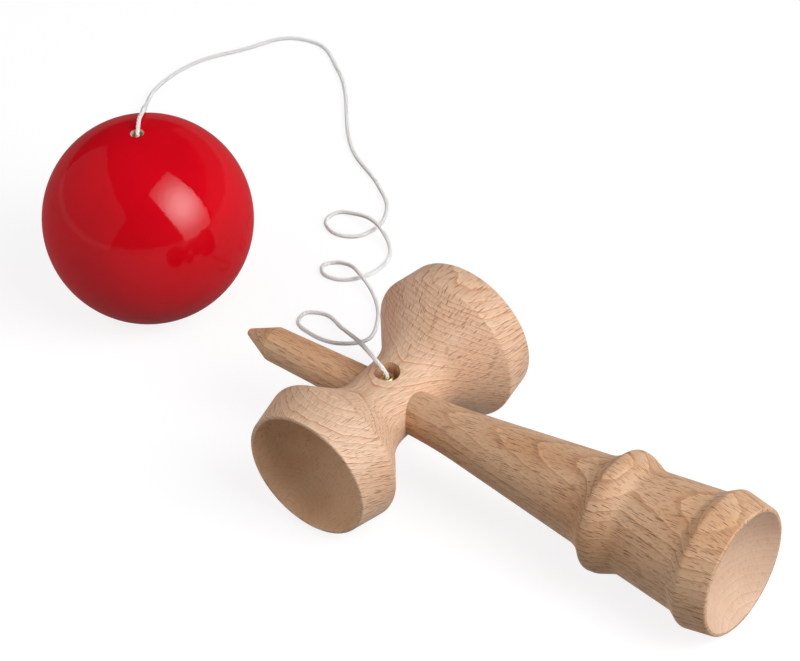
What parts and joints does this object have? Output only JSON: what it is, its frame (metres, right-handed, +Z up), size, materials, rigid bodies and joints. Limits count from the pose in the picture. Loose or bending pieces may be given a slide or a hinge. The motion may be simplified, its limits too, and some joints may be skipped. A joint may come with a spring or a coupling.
{
  "type": "cup and ball toy",
  "caption": "Wooden cup and ball toy: a turned handle with a spike and a base cup, a cross piece with a cup at each end, and a lacquered ball on a string.",
  "frame": {"origin": "Middle of the toy's box in plan, on the table that the toy lies on; the string is left out of the box", "axes": "+X along the handle from the spike to the base cup, +Y along the cross piece from the small cup to the big cup, +Z up from the table"},
  "size_m": [0.2812, 0.178, 0.0603],
  "materials": {
    "handle_wood": "raw beech, finely turned and sanded",
    "cross_wood": "raw beech, finely turned and sanded",
    "eyelet_brass": "bright rolled brass",
    "string_cotton": "smooth braided white cord",
    "bead_wood": "raw turned wood",
    "ball_lacquer": "turned wood under gloss red lacquer"
  },
  "bodies": {
    "toy": {"ken": "handle_wood", "sarado": "cross_wood", "string_eyelet": "eyelet_brass", "string_handle_end": "string_cotton", "string": "string_cotton"},
    "string_end": {"string_ball_end": "string_cotton"},
    "bead": {"bead": "bead_wood"},
    "ball": {"ball": "ball_lacquer"}
  },
  "joints": [
    {"name": "ball_lift", "type": "slide", "parent": "toy", "child": "string_end", "axis": [0, 0, 1], "range_m": [0, 0.06], "deforming": ["string"]},
    {"name": "ball_spin", "type": "hinge", "parent": "string_end", "child": "ball", "pos_m": [-0.09139, 0.01184, 0.02783], "axis": [0, 0, 1], "continuous": true},
    {"name": "bead_spin", "type": "hinge", "parent": "string_end", "child": "bead", "pos_m": [-0.09139, 0.01184, 0.04179], "axis": [0, 0, 1], "continuous": true}
  ]
}
